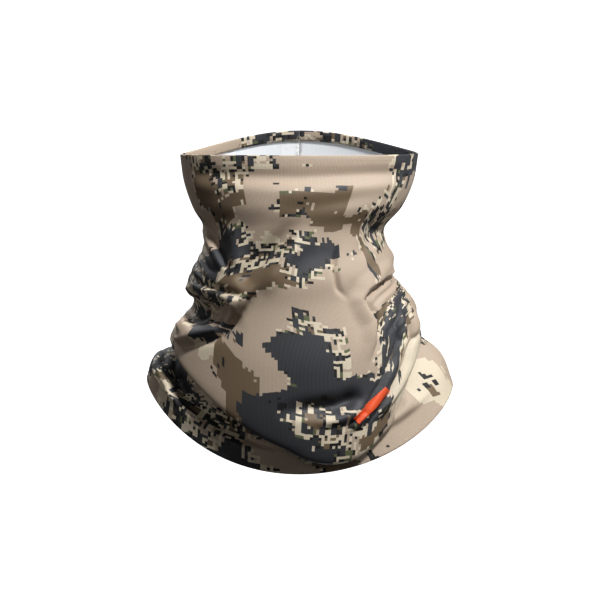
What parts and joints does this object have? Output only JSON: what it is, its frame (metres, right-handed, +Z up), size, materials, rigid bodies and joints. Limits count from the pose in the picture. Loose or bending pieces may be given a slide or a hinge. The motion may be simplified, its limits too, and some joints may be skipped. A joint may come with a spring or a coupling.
{
  "type": "neck gaiter",
  "caption": "Soft knit tube worn round the neck, slouched into a cowl over the chest, with turned hems, a flat back seam and a care label inside.",
  "frame": {"origin": "on the wearer's neck axis, at the height where the tube is narrowest", "axes": "+Z up the neck towards the face opening, -Y to the front (chest side), +X to the right as seen from the front"},
  "size_m": [0.2518, 0.1739, 0.267],
  "materials": {
    "printed_jersey": null,
    "print_matched_thread": "fine polyester sewing thread, taupe, matt",
    "pale_thread": "fine textured polyester looper thread, off-white, matt",
    "seam_thread": "textured polyester seam thread, greyed tan, matt",
    "label_ribbon": "smooth white satin label ribbon",
    "accent_film": "thin bonded film, burnt orange, soft satin"
  },
  "bodies": {
    "gaiter": {"knit_panel": "printed_jersey", "top_hem_needle_thread_outer": "print_matched_thread", "top_hem_needle_thread_inner": "print_matched_thread", "bottom_hem_needle_thread_outer": "print_matched_thread", "bottom_hem_needle_thread_inner": "print_matched_thread", "top_hem_looper_thread": "pale_thread", "bottom_hem_looper_thread": "pale_thread", "back_seam_needle_thread_left": "seam_thread", "back_seam_needle_thread_right": "seam_thread", "back_seam_cover_thread": "seam_thread", "back_seam_looper_thread": "seam_thread", "care_label_tack_thread": "pale_thread", "accent_bar": "accent_film"},
    "label": {"care_label": "label_ribbon"}
  },
  "joints": [
    {"name": "care_label_flip", "type": "hinge", "parent": "gaiter", "child": "label", "pos_m": [0.00339, 0.05911, 0.03433], "axis": [-0.0578, -0.1275, -0.9902], "range_deg": [0, 148]}
  ]
}
